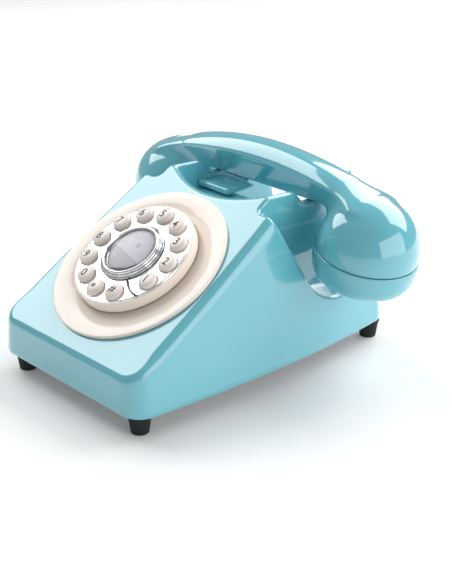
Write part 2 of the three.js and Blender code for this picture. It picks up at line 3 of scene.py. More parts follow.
import bpy
import numpy as np
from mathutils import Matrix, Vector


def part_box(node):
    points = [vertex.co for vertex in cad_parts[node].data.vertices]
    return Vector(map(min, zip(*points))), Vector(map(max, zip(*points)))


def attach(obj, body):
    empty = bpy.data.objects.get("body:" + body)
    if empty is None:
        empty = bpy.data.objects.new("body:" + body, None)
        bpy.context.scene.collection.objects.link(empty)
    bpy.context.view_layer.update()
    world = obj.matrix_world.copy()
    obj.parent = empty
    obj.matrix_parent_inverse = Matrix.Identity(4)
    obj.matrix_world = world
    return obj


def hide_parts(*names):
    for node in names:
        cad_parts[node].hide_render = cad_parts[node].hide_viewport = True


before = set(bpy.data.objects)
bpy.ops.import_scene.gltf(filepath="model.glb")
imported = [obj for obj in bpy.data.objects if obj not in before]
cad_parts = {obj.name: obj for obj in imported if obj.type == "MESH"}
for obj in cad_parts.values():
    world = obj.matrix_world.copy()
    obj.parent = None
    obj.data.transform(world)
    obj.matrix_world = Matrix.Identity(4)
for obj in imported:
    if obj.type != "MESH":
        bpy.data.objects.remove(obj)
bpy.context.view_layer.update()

# Studio. A camera looks down on the right-hand front corner of the telephone, which stands on a
# wide white floor. A soft box overhead on the left is what the sloping panel mirrors, a second one
# lights the side wall and a third stands behind.
AIM = np.array([0.01043, 0.0131, 0.04185])
CAMERA_AZIMUTH = math.radians(47.5)
CAMERA_ELEVATION = math.radians(23.06)
CAMERA_DISTANCE = 0.820
LENS_MM = 78.2


def direction(azimuth, elevation):
    """Unit vector from the object towards a place at that azimuth and height, both in radians."""
    level = math.cos(elevation)
    return np.array([math.sin(azimuth) * level, -math.cos(azimuth) * level, math.sin(elevation)])


def aimed(thing, place, aim):
    """Puts a camera or light at a place and turns its -Z axis towards the aim."""
    thing.location = place
    way = Vector(aim) - Vector(place)
    thing.rotation_euler = way.to_track_quat("-Z", "Y").to_euler()
    bpy.context.scene.collection.objects.link(thing)


def soft_box(name, width, height, watts, place, aim):
    """A rectangular studio lamp of that size in metres."""
    lamp = bpy.data.lights.new(name, "AREA")
    lamp.shape = "RECTANGLE"
    lamp.size = width
    lamp.size_y = height
    lamp.energy = watts
    aimed(bpy.data.objects.new(name, lamp), place, aim)


def linear(code):
    """Scene-linear colour, with alpha, of an sRGB hex code."""
    srgb = np.array([int(code[i:i + 2], 16) for i in (1, 3, 5)]) / 255
    low = srgb / 12.92
    high = ((srgb + 0.055) / 1.055) ** 2.4
    return (*np.where(srgb <= 0.04045, low, high), 1.0)


camera_data = bpy.data.cameras.new("camera")
camera_data.lens = LENS_MM
camera_data.sensor_width = 36
camera = bpy.data.objects.new("camera", camera_data)
aimed(camera, AIM + CAMERA_DISTANCE * direction(CAMERA_AZIMUTH, CAMERA_ELEVATION), AIM)
bpy.context.scene.camera = camera
bpy.context.scene.view_settings.view_transform = "Standard"

world = bpy.data.worlds.new("studio")
world.use_nodes = True
world.node_tree.nodes["Background"].inputs["Color"].default_value = (0.96, 0.98, 1.0, 1)
world.node_tree.nodes["Background"].inputs["Strength"].default_value = 0.33
bpy.context.scene.world = world

PANEL_MIRROR = np.array([-0.68, -0.075, 0.73])
soft_box("panel_box", 1.0, 1.0, 10, AIM + 1.3 * PANEL_MIRROR, AIM)
soft_box("side_box", 1.6, 1.0, 9.5, AIM + 1.5 * direction(math.radians(100), 0.25), AIM)
soft_box("rear_box", 1.6, 1.0, 18, AIM + 1.4 * direction(math.radians(176), 0.72), AIM)

floor_mesh = bpy.data.meshes.new("floor")
floor_mesh.from_pydata([(-9, -9, 0), (9, -9, 0), (9, 9, 0), (-9, 9, 0)], [], [(0, 1, 2, 3)])
floor = bpy.data.objects.new("floor", floor_mesh)
bpy.context.scene.collection.objects.link(floor)
paper = bpy.data.materials.new("studio_paper")
paper.use_nodes = True
paper.node_tree.nodes["Principled BSDF"].inputs["Base Color"].default_value = (0.93, 0.93, 0.93, 1)
paper.node_tree.nodes["Principled BSDF"].inputs["Roughness"].default_value = 0.6
paper.node_tree.nodes["Principled BSDF"].inputs["Emission Color"].default_value = (1, 1, 1, 1)
paper.node_tree.nodes["Principled BSDF"].inputs["Emission Strength"].default_value = 0.08
floor_mesh.materials.append(paper)

# Upper case. One glossy turquoise moulding: skirt, sloping panel, two front ears, the cradle between
# them, two rear horns and a round recess on each side for the handset's cups. It is injection moulded,
# so every edge is rounded and every wall leans a little. It is screwed to the base plate from below.
MM = 0.001
CASE_LOW, CASE_HIGH = (np.array(v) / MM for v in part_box("upper_case"))
CASE_BOTTOM = CASE_LOW[2]
HALF_LENGTH = CASE_HIGH[1]
WIDEST = CASE_HIGH[0]
HORN_TOP = CASE_HIGH[2]
FRONT_HALF = WIDEST - 4.15
REAR_HALF = WIDEST - 7
CORNER = 14
SKIRT_TOP = 37.5
PANEL_SLOPE = math.radians(31.8)
PANEL_LENGTH = 146
EAR_Y = -HALF_LENGTH + PANEL_LENGTH * math.cos(PANEL_SLOPE)
EAR_Z = SKIRT_TOP + PANEL_LENGTH * math.sin(PANEL_SLOPE)
HANDLE_Y = 60
SADDLE_Z = 103.6
SHELF_Z = 97


def rounded(a, b, radius):
    """Corner of two solids given by signed distances: the larger distance, with a round of that radius."""
    outside = np.hypot(np.maximum(a + radius, 0), np.maximum(b + radius, 0))
    return np.minimum(np.maximum(a, b), -radius) + outside


def beyond(y, z, y0, z0, y1, z1):
    """Signed distance in side view to the left of the line from (y0, z0) to (y1, z1)."""
    length = math.hypot(y1 - y0, z1 - z0)
    return ((y1 - y0) * (z - z0) - (z1 - z0) * (y - y0)) / length


def softly_over(a, b, width):
    """The larger of two heights, with the change-over smoothed across that width."""
    return (a + b + np.sqrt((a - b) ** 2 + width ** 2)) / 2


def case_walls(x, y, z):
    """Leaning walls round a plan with round corners, whose sides bow out as a parabola of y."""
    end_half = np.where(y < 0, FRONT_HALF, REAR_HALF)
    share = np.clip(np.abs(y) / (HALF_LENGTH - CORNER), 0, 1)
    half = WIDEST + (end_half - WIDEST) * share ** 2
    lean = 1 - 0.00186 * (z - CASE_BOTTOM)
    back = np.maximum(y - HALF_LENGTH, -beyond(y, z, HALF_LENGTH, 46, 96, 108))
    return rounded(x / lean - half, np.maximum(-HALF_LENGTH - y, back), CORNER)


def case_top(y, z):
    """The roof in side view: the sloping panel up to the ears, the ears' tops and the rear horns' tops."""
    panel = beyond(y, z, -HALF_LENGTH, SKIRT_TOP, EAR_Y, EAR_Z)
    ear = beyond(y, z, EAR_Y, EAR_Z, 38.6, EAR_Z - 1.5)
    horn = rounded(z - HORN_TOP, beyond(y, z, 90, HORN_TOP, 96, 108), 2)
    return rounded(panel, np.where(y < HANDLE_Y, ear, horn), 1.5)


def saddle(y, z):
    """The notch that the handle lies in: a flat floor between the ear's back and the horn's front."""
    front = beyond(y, z, 47, SADDLE_Z, 38.6, EAR_Z - 1.5)
    rear = beyond(y, z, 82, HORN_TOP, 73, SADDLE_Z)
    return rounded(rounded(front, rear, 2), SADDLE_Z - z, 2.5)


def cup_recess(x, y, z):
    """The hollow beside the spine that a cup hangs in: two slopes joined by a big round."""
    front = beyond(y, z, 30.9, 62.2, -10, 135)
    rear = beyond(y, z, 112, 68, 76.35, 48.7)
    spine = 46.5 + 0.02 * (HORN_TOP - z) - x
    return rounded(rounded(front, rear, 32.7), spine, 5)


def cradle(x, y, z):
    """The hollow between the ears: it starts at a curved lip, drops to a shelf and then to a scoop."""
    lip = 108 + (EAR_Z - 108) * (x / 42.5) ** 2
    lip_y = -HALF_LENGTH + (lip - SKIRT_TOP) / math.tan(PANEL_SLOPE)
    bowl = lip - 1.33 * softly_over(y - lip_y - 2.4, 0, 1.2)
    scoop = softly_over(76 - (y - 52) * 0.5, 72 - (y - HANDLE_Y) * 0.114, 3)
    shelf = -softly_over(-SHELF_Z, -softly_over(SHELF_Z - (y - 44) * 2.6, scoop, 3), 2.5)
    floor_z = softly_over(bowl, shelf, 3)
    half = 38 + np.where(z > SHELF_Z, 0.25, 0.02) * (z - SHELF_Z)
    return rounded((floor_z - z) * 0.8, x - half, 2.5)


def case_field(x, y, z):
    """Signed distance to the case: walls cut by the roof, the saddle, the recesses and the cradle."""
    x = np.abs(x)
    edge = np.interp(y, [-104, -88], [3, 6.5])
    body = rounded(case_walls(x, y, z), case_top(y, z), edge)
    body = rounded(body, -saddle(y, z), 2)
    body = rounded(body, -cup_recess(x, y, z), 2.6)
    return rounded(body, -cradle(x, y, z), 1.4)


def first_exit(field, origin, way, reach, steps=72):
    """Where rays from inside a solid first leave it: equal steps, then a bisection of the last one."""
    near = np.zeros(len(origin))
    found = np.zeros(len(origin), bool)
    stride = reach / steps
    for i in range(1, steps + 1):
        point = origin + way * (i * stride)
        found |= field(*point.T) > 0
        near = np.where(found, near, i * stride)
    far = near + stride
    for _ in range(22):
        middle = (near + far) / 2
        inside = field(*(origin + way * middle[:, None]).T) < 0
        near = np.where(inside, middle, near)
        far = np.where(inside, far, middle)
    return origin + way * near[:, None]


def quads(numbers, wrap=False):
    """Four-cornered faces between neighbouring rows and columns of a grid of vertex numbers."""
    if wrap:
        numbers = np.concatenate([numbers, numbers[:, :1]], axis=1)
    corners = [numbers[:-1, :-1], numbers[:-1, 1:], numbers[1:, 1:], numbers[1:, :-1]]
    return np.stack(corners, -1).reshape(-1, 4)


def mesh_piece(name, points_mm, faces, body, material, node=None):
    """A smooth-shaded object from vertices in millimetres and faces, riding on a body."""
    mesh = bpy.data.meshes.new(name)
    mesh.from_pydata((np.asarray(points_mm) * MM).tolist(), [], [list(map(int, f)) for f in faces])
    mesh.polygons.foreach_set("use_smooth", np.ones(len(mesh.polygons), bool))
    mesh.materials.append(material)
    mesh.update()
    piece = bpy.data.objects.new(name, mesh)
    bpy.context.scene.collection.objects.link(piece)
    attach(piece, body)
    if node:
        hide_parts(node)
    return piece


def moulded_plastic(name, colour, roughness, coat=0.0, peel=0.02, tone=0.03):
    """Moulded plastic: faint drifts of tone, uneven polish and a very fine orange peel."""
    material = bpy.data.materials.new(name)
    material.use_nodes = True
    nodes = material.node_tree.nodes
    links = material.node_tree.links
    shader = nodes["Principled BSDF"]
    shader.inputs["Coat Weight"].default_value = coat
    shader.inputs["Coat Roughness"].default_value = 0.03
    shader.inputs["Coat IOR"].default_value = 1.7
    place = nodes.new("ShaderNodeTexCoord")

    def noise(scale, detail):
        texture = nodes.new("ShaderNodeTexNoise")
        texture.inputs["Scale"].default_value = scale
        texture.inputs["Detail"].default_value = detail
        links.new(place.outputs["Object"], texture.inputs["Vector"])
        return texture.outputs["Fac"]

    base = np.array(linear(colour)[:3])
    ramp = nodes.new("ShaderNodeValToRGB")
    ramp.color_ramp.elements[0].position = 0.3
    ramp.color_ramp.elements[1].position = 0.7
    ramp.color_ramp.elements[0].color = (*base * (1 - tone), 1)
    ramp.color_ramp.elements[1].color = (*np.minimum(base * (1 + tone), 1), 1)
    links.new(noise(18, 3), ramp.inputs["Fac"])
    links.new(ramp.outputs["Color"], shader.inputs["Base Color"])
    polish = nodes.new("ShaderNodeMapRange")
    polish.inputs["To Min"].default_value = roughness * 0.8
    polish.inputs["To Max"].default_value = roughness * 1.25
    links.new(noise(60, 4), polish.inputs["Value"])
    links.new(polish.outputs["Result"], shader.inputs["Roughness"])
    bump = nodes.new("ShaderNodeBump")
    bump.inputs["Strength"].default_value = peel
    bump.inputs["Distance"].default_value = 0.0004
    links.new(noise(420, 2), bump.inputs["Height"])
    links.new(bump.outputs["Normal"], shader.inputs["Normal"])
    return material


TURQUOISE = "#69BCCA"
shell_plastic = moulded_plastic("turquoise_gloss", TURQUOISE, 0.12, coat=1.0)


def steps_between(*stops):
    """Positions through the stops, given as position, spacing, position, spacing, ... position."""
    runs = [
        np.linspace(a, b, max(2, round((b - a) / gap) + 1))[:-1]
        for a, gap, b in zip(stops[0:-2:2], stops[1:-1:2], stops[2::2])
    ]
    return np.concatenate([*runs, [stops[-1]]])


def case_rim(xs, ys):
    """Vertex numbers round the edge of a grid of columns xs and rows ys, anticlockwise from above."""
    number = np.arange(len(xs) * len(ys)).reshape(len(xs), len(ys))
    return np.concatenate([number[:-1, 0], number[-1, :-1], number[:0:-1, -1], number[0, :0:-1]])


def case_outward(rim_points, half_x, half_y, turn=12):
    """Level unit vectors that point out of the nearer side, and swing through each corner."""
    x, y = rim_points[:, 0], rim_points[:, 1]
    left_x = half_x - np.abs(x)
    left_y = half_y - np.abs(y)
    swing = np.where(left_x < left_y, 1 - np.clip(left_y / turn, 0, 1), 1 + np.clip(left_x / turn, 0, 1))
    angle = swing * math.pi / 4
    return np.stack([np.sign(x) * np.cos(angle), np.sign(y) * np.sin(angle), 0 * x], -1)


def make_case():
    """Heights over a grid, then a fan of rays from its edge down to the rim, then a flat underside."""
    half_x, half_y, core_z = 57, 97, CASE_BOTTOM + 3.2
    right = steps_between(0, 1.3, 36, 0.32, 49.5, 0.8, half_x)
    xs = np.concatenate([-right[:0:-1], right])
    ys = steps_between(-half_y, 1.1, -84, 3.2, -8, 0.85, half_y)
    grid_x, grid_y = np.meshgrid(xs, ys, indexing="ij")
    core = np.stack([grid_x.ravel(), grid_y.ravel(), np.full(grid_x.size, core_z)], -1)
    up = np.broadcast_to([0.0, 0.0, 1.0], core.shape)
    roof = first_exit(case_field, core, up, HORN_TOP)
    rim = case_rim(xs, ys)
    outward = case_outward(core[rim], half_x, half_y)
    tilts = np.radians(steps_between(0, 0.75, 30, 2.5, 90))[1:]
    rings = [
        first_exit(case_field, core[rim], outward * math.sin(t) + up[rim] * math.cos(t), HORN_TOP)
        for t in tilts
    ]
    foot = rings[-1] * [1, 1, 0] + [0, 0, CASE_BOTTOM + 0.5]
    edge = foot - outward * 0.35 - [0, 0, 0.5]
    inner = edge - outward * 2.2
    recess = inner * [1, 1, 0] + [0, 0, core_z]
    rings += [foot, edge, inner, recess]
    size = len(core)
    count = len(rim)
    loops = np.array([rim, *[size + i * count + np.arange(count) for i in range(len(rings))]])
    under = size + len(rings) * count
    grid = np.arange(size).reshape(len(xs), len(ys))
    faces = [*quads(grid.T), *quads(loops[::-1], wrap=True)]
    faces += [*quads(grid + under), *quads(np.array([loops[-1], rim + under])[::-1], wrap=True)]
    return np.concatenate([roof, *rings, core]), faces


case_points, case_faces = make_case()
upper_case = mesh_piece("upper_case_shell", case_points, case_faces, "case", shell_plastic, "upper_case")

# Feet. Four tapered rubber feet, moulded black and pushed into the corners of the base plate.
# They carry a fine matt grain and are slightly rounded where they meet the table.


def filleted(corners, steps=5):
    """A profile of [x, y, radius] corners, each cut back by its radius and bridged by a parabola."""
    corners = np.array(corners, float)
    t = np.linspace(0, 1, steps)[:, None]
    profile = [corners[:1, :2]]
    for before, corner, after in zip(corners, corners[1:], corners[2:]):
        point, radius = corner[:2], corner[2]
        start = before[:2] - point
        end = after[:2] - point
        a = point + start / np.linalg.norm(start) * radius
        b = point + end / np.linalg.norm(end) * radius
        bridge = a * (1 - t) ** 2 + point * 2 * t * (1 - t) + b * t ** 2
        profile.append(bridge if radius > 0 else corner[None, :2])
    return np.concatenate([*profile, corners[-1:, :2]])


def turned(profile, segments):
    """A profile of [radius, height] points turned about Z: x and y are the radius times cosine and sine."""
    radius, height = np.asarray(profile, float).T
    on_axis = radius < 1e-6
    angle = np.arange(segments) * 2 * math.pi / segments
    rings = np.stack([
        radius[~on_axis, None] * np.cos(angle),
        radius[~on_axis, None] * np.sin(angle),
        height[~on_axis, None] + 0 * angle,
    ], -1)
    numbers = np.arange(rings.shape[0] * segments).reshape(-1, segments)
    faces = [*quads(numbers, wrap=True)]
    poles = [[0, 0, h] for h in height[on_axis]]
    count = numbers.size
    if on_axis[0]:
        faces += [(count, b, a) for a, b in zip(numbers[0], np.roll(numbers[0], -1))]
        count += 1
    if on_axis[-1]:
        faces += [(count, a, b) for a, b in zip(numbers[-1], np.roll(numbers[-1], -1))]
    if not on_axis.any():
        faces += [*quads(numbers[[-1, 0]], wrap=True)]
    return np.concatenate([rings.reshape(-1, 3), np.array(poles).reshape(-1, 3)]), faces


def moulded_rubber(name, colour):
    """Matt rubber: a fine pebbled grain and soft drifts of tone."""
    return moulded_plastic(name, colour, 0.72, peel=0.35, tone=0.12)


foot_rubber = moulded_rubber("foot_rubber", "#19191B")
FOOT_HEIGHT = CASE_BOTTOM - 0.3
foot_profile = filleted([
    [0, 0, 0], [5.4, 0, 0.8], [6.9, 10.4, 0.3], [7.4, 10.9, 0.4], [7.4, FOOT_HEIGHT, 0.2],
    [0, FOOT_HEIGHT, 0],
])
for end in ("front", "rear"):
    for side in ("left", "right"):
        node = f"foot_{end}_{side}"
        foot_low, foot_high = (np.array(v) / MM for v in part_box(node))
        foot_points, foot_faces = turned(foot_profile, 40)
        middle = (foot_low + foot_high) / 2 * [1, 1, 0]
        foot = mesh_piece(f"{node}_rubber", foot_points + middle, foot_faces, "case", foot_rubber, node)

# Base plate and what stands on it. A zinc-plated steel plate closes the case from below and holds the
# board, the ringer and a ballast plate. They keep their own shapes and take the finish of their material.


def plated_steel(name, colour, roughness):
    """Plated sheet steel: long fine rolling marks, which lie along X, in the roughness."""
    material = moulded_plastic(name, colour, roughness, peel=0.0)
    nodes = material.node_tree.nodes
    links = material.node_tree.links
    shader = nodes["Principled BSDF"]
    shader.inputs["Metallic"].default_value = 1.0
    place = nodes.new("ShaderNodeTexCoord")
    mapping = nodes.new("ShaderNodeMapping")
    mapping.inputs["Scale"].default_value = (1, 18, 18)
    marks = nodes.new("ShaderNodeTexNoise")
    marks.inputs["Scale"].default_value = 260
    spread = nodes.new("ShaderNodeMapRange")
    spread.inputs["To Min"].default_value = roughness * 0.7
    spread.inputs["To Max"].default_value = roughness * 1.4
    links.new(place.outputs["Object"], mapping.inputs["Vector"])
    links.new(mapping.outputs["Vector"], marks.inputs["Vector"])
    links.new(marks.outputs["Fac"], spread.inputs["Value"])
    links.new(spread.outputs["Result"], shader.inputs["Roughness"])
    return material


def finish_nodes(material, *names):
    """Gives CAD nodes that keep their own shape a material."""
    for name in names:
        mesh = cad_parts[name].data
        mesh.materials.clear()
        mesh.materials.append(material)


zinc = plated_steel("zinc_plated_steel", "#A9ABAE", 0.32)
black_plastic = moulded_plastic("black_plastic", "#1C1D1F", 0.5, peel=0.2, tone=0.1)
board_green = moulded_plastic("board_laminate", "#2F6B48", 0.42, coat=0.4, peel=0.1, tone=0.15)
finish_nodes(zinc, "base_plate", "ballast_plate", "microphone", "receiver", "handset_weight")
finish_nodes(zinc, *[f"case_screw_{i}" for i in range(1, 5)])
finish_nodes(black_plastic, "ringer", "hook_switch", "line_socket", "base_socket")
finish_nodes(black_plastic, "handset_socket", "ringer_switch")
finish_nodes(board_green, "main_board", "keypad_board")
finish_nodes(moulded_rubber("key_mat_silicone", "#9A9C9E"), "keypad_mat")

# Dial plate. A large cream plastic disc with a rounded rim, cemented flat on the sloping panel.
UP_PANEL = 71.1
DIAL_CENTRE = np.array([
    0, -HALF_LENGTH + UP_PANEL * math.cos(PANEL_SLOPE), SKIRT_TOP + UP_PANEL * math.sin(PANEL_SLOPE),
])
PLATE_TOP = 2.4
PLATE_RADIUS = 58.7


def on_dial(points):
    """Points of the dial's own frame, whose Z is square to the panel, in the telephone's frame."""
    x, y, z = np.asarray(points, float).T
    c, s = math.cos(PANEL_SLOPE), math.sin(PANEL_SLOPE)
    return np.stack([x, y * c - z * s, y * s + z * c], -1) + DIAL_CENTRE


def dial_piece(name, profile, segments, material, node, body="case", centre=(0, 0, 0)):
    """A turned piece of the dial, set on the panel at that place of the dial's own frame."""
    points, faces = turned(profile, segments)
    piece = mesh_piece(name, on_dial(points + np.array(centre)), faces, body, material, node)
    return piece


cream = moulded_plastic("cream_plastic", "#F9EDE1", 0.3, coat=0.5, peel=0.05, tone=0.015)
plate_profile = filleted([
    [36.4, 0.3, 0], [PLATE_RADIUS, 0.3, 0.2], [PLATE_RADIUS, PLATE_TOP, 0.8], [36.4, PLATE_TOP, 0],
])
dial_piece("dial_plate_disc", plate_profile, 180, cream, "dial_plate")

# Keypad drum. The cream wall that lifts the keys above the plate, with a soft rolled top edge. Its
# bright face is a separate polished disc with a round well for each key, let into the wall.
DRUM_RADIUS = 40.4
FACE_Z = 10.0
WELL_Z = 3.6
GROOVE_RADIUS = 38.2
GROOVE_DEPTH = 1.1
WELL_RADIUS = 6.15
KEY_RING = 31.4
KEY_RADIUS = 5.8
FIRST_KEY_BEARING = -25
KEY_SPACING = 29
KEY_NAMES = ["1", "2", "3", "4", "5", "6", "7", "8", "9", "0", "star", "hash"]
key_angles = np.radians(FIRST_KEY_BEARING + KEY_SPACING * np.arange(len(KEY_NAMES)))
key_places = KEY_RING * np.stack([np.cos(key_angles), np.sin(key_angles)], -1)

drum_profile = filleted([
    [38.9, 2.7, 0], [DRUM_RADIUS, 2.7, 0.2], [DRUM_RADIUS, FACE_Z - 0.7, 0.6],
    [39.2, FACE_Z - 0.5, 0.1], [38.9, 9, 0],
])
dial_piece("keypad_drum_wall", drum_profile, 160, cream, "keypad_drum")


def inside(x, y, places, radius):
    """Which points lie within that radius of a place, and the points moved off the circles' edges."""
    within = np.zeros(x.shape, bool)
    x, y = x.copy(), y.copy()
    for px, py in places:
        away = np.hypot(x - px, y - py)
        within |= away < radius
        edge = np.abs(away - radius) < 0.24
        to = np.where(away < radius, radius - 0.1, radius + 0.1) / np.maximum(away, 0.1)
        x[edge] = (px + (x - px) * to)[edge]
        y[edge] = (py + (y - py) * to)[edge]
    return within, x, y


def make_face():
    """A polar grid of heights: the face's level, less the wells and a groove near the rim, closed below."""
    radii = steps_between(0.5, 3, 21, 0.6, 24.6, 0.25, GROOVE_RADIUS, 0.2, 39.0)
    angle = np.arange(900) * math.pi / 450
    r, a = np.meshgrid(radii, angle, indexing="ij")
    in_well, x, y = inside(r * np.cos(a), r * np.sin(a), key_places, WELL_RADIUS)
    groove = np.exp(-((r - GROOVE_RADIUS) / 0.3) ** 2) * GROOVE_DEPTH
    edge = np.clip(r - 38.6, 0, 1) ** 2 * 0.8
    height = np.where(in_well, WELL_Z, FACE_Z - edge - groove)
    top = np.stack([x, y, height], -1)
    side = top[-1:] * [1, 1, 0] + [0, 0, 3]
    points = np.concatenate([top, side])
    numbers = np.arange(points.shape[0] * points.shape[1]).reshape(points.shape[:2])
    faces = [*quads(numbers[::-1], wrap=True), numbers[-1][::-1], numbers[0]]
    return points.reshape(-1, 3), faces


def polished_metal(name, colour, roughness):
    """Polished plated metal: a mirror with the faintest haze and swirl of its polishing."""
    material = moulded_plastic(name, colour, roughness, peel=0.015, tone=0.01)
    material.node_tree.nodes["Principled BSDF"].inputs["Metallic"].default_value = 1.0
    return material


bright = polished_metal("polished_face", "#F4F4F4", 0.16)
chrome = polished_metal("chrome_plate", "#E6E7EA", 0.05)
dark_nickel = polished_metal("dark_nickel", "#4A4A4E", 0.2)
face_points, face_faces = make_face()
drum_face = mesh_piece("drum_face_disc", on_dial(face_points), face_faces, "case", bright, "drum_face")

# Keys. Twelve domed cream caps, each sliding in its own well against the silicone mat. The figures are
# printed in black and follow the dome.
KEY_FOOT = 5.4
DOME_EDGE = FACE_Z + 1.5
DOME_RISE = 2.1
FIGURE_SIZE = 7.6
key_cream = moulded_plastic("key_plastic", "#F1E6DD", 0.28, coat=0.4, peel=0.04, tone=0.015)
ink = moulded_plastic("printed_ink", "#141416", 0.4, peel=0.0)


def dome_height(radius):
    """Height of a key's top: an upright quarter ellipse, flat in the middle and round at the edge."""
    return DOME_EDGE + DOME_RISE * np.sqrt(np.clip(1 - (radius / KEY_RADIUS) ** 2.4, 0, 1))


def key_profile():
    """Up the skirt, then over the dome, with its points closing up towards the edge."""
    radius = KEY_RADIUS * np.sin(np.linspace(math.pi / 2, 0, 16))
    dome = np.stack([radius, dome_height(radius)], -1)
    skirt = [[0, KEY_FOOT], [KEY_RADIUS - 0.3, KEY_FOOT], [KEY_RADIUS, KEY_FOOT + 0.3]]
    return np.concatenate([skirt, dome])


def make_figure(text, place):
    """A printed character: its outline filled and cut small, then laid over the dome."""
    curve = bpy.data.curves.new("figure", "FONT")
    curve.body = text
    curve.size = FIGURE_SIZE
    curve.align_x = "CENTER"
    curve.align_y = "CENTER"
    curve.offset = 0.11
    shape = bpy.data.objects.new("figure", curve)
    mesh = bpy.data.meshes.new_from_object(shape)
    bpy.data.objects.remove(shape)
    mesh.calc_loop_triangles()
    flat = np.zeros(len(mesh.vertices) * 3)
    mesh.vertices.foreach_get("co", flat)
    corners = np.zeros(len(mesh.loop_triangles) * 3, int)
    mesh.loop_triangles.foreach_get("vertices", corners)
    bpy.data.meshes.remove(mesh)
    flat = flat.reshape(-1, 3)
    flat -= (flat.min(0) + flat.max(0)) / 2
    a, b, c = flat[corners.reshape(-1, 3)].transpose(1, 0, 2)
    for _ in range(3):
        ab, bc, ca = (a + b) / 2, (b + c) / 2, (c + a) / 2
        a, b, c = (np.concatenate(parts) for parts in ((a, ab, ca, ab), (ab, b, bc, bc), (ca, bc, c, ca)))
    small = np.round(np.stack([a, b, c], 1).reshape(-1, 3), 4)
    points, faces = np.unique(small, axis=0, return_inverse=True)
    level = dome_height(np.hypot(points[:, 0], points[:, 1])) + 0.08
    return points + [*place, 0] + level[:, None] * [0, 0, 1], faces.reshape(-1, 3)


CHARACTERS = {"star": "*", "hash": "#"}
for name, place in zip(KEY_NAMES, key_places):
    node = f"key_{name}"
    dial_piece(f"{node}_cap", key_profile(), 48, key_cream, node, node, (*place, 0))
    figure_points, figure_faces = make_figure(CHARACTERS.get(name, name), place)
    figure = mesh_piece(f"{node}_figure", on_dial(figure_points), figure_faces, node, ink)

# Finger stop. A thin bent wire of dark nickel-plated steel that lies across the face between the first
# key and the last, as the stop of a rotary dial did.


def swept(path, radius, segments=12):
    """A round tube along a path: circles square to the path, closed by a point at each end."""
    along = np.gradient(path, axis=0)
    along /= np.linalg.norm(along, axis=1)[:, None]
    side = np.cross(along, [0, 0, 1])
    side /= np.linalg.norm(side, axis=1)[:, None]
    up = np.cross(side, along)
    angle = np.arange(segments) * 2 * math.pi / segments
    circle = side[:, None] * np.cos(angle)[:, None] + up[:, None] * np.sin(angle)[:, None]
    rings = path[:, None] + radius * circle
    numbers = np.arange(rings.shape[0] * segments).reshape(-1, segments)
    first, last = numbers.size, numbers.size + 1
    faces = [*quads(numbers[::-1], wrap=True)]
    faces += [(first, a, b) for a, b in zip(numbers[0], np.roll(numbers[0], -1))]
    faces += [(last, b, a) for a, b in zip(numbers[-1], np.roll(numbers[-1], -1))]
    ends = [path[0] - along[0] * radius * 0.6, path[-1] + along[-1] * radius * 0.6]
    return np.concatenate([rings.reshape(-1, 3), ends]), faces


def bent(start, middle, end, count):
    """Points of the parabola that leaves the start towards the middle and arrives at the end from it."""
    t = np.linspace(0, 1, count)[:, None]
    return np.array(start) * (1 - t) ** 2 + np.array(middle) * 2 * t * (1 - t) + np.array(end) * t ** 2


def around(radius, degrees, height):
    """A point of the dial's own frame, by its distance from the middle and its bearing."""
    angle = math.radians(degrees)
    return [radius * math.cos(angle), radius * math.sin(angle), height]


stop_start = around(23, -52, FACE_Z + 0.8)
stop_bend = around(32, -50, FACE_Z + 1.1)
stop_end = around(38.4, -40, FACE_Z + 0.7)
stop_path = bent(stop_start, stop_bend, stop_end, 24)
stop_points, stop_faces = swept(stop_path, 0.6)
finger_stop = mesh_piece(
    "finger_stop_wire", on_dial(stop_points), stop_faces, "case", dark_nickel, "finger_stop"
)

# Hub. A stepped chrome ring clamps a clear domed lens over a printed card. The card is pale lavender
# with a darker lower part and a small round spot, and carries no lettering.
HUB_RADIUS = 21.5
HUB_Z = FACE_Z + 0.3
hub_profile = filleted([
    [17.1, HUB_Z, 0], [HUB_RADIUS, HUB_Z, 0.15], [HUB_RADIUS, HUB_Z + 1.0, 0.4], [20.4, HUB_Z + 1.3, 0.2],
    [20.1, HUB_Z + 2.2, 0.3], [19.4, HUB_Z + 2.5, 0.2], [19.2, HUB_Z + 3.5, 0.5], [18.2, HUB_Z + 4.1, 0.5],
    [17.6, HUB_Z + 3.6, 0.3], [17.2, HUB_Z + 2.4, 0.2], [17.1, HUB_Z, 0],
])
dial_piece("hub_ring_chrome", hub_profile[:-1], 144, chrome, "hub_ring")

CARD_RADIUS = 16.9
SPOT_RADIUS = 1.9


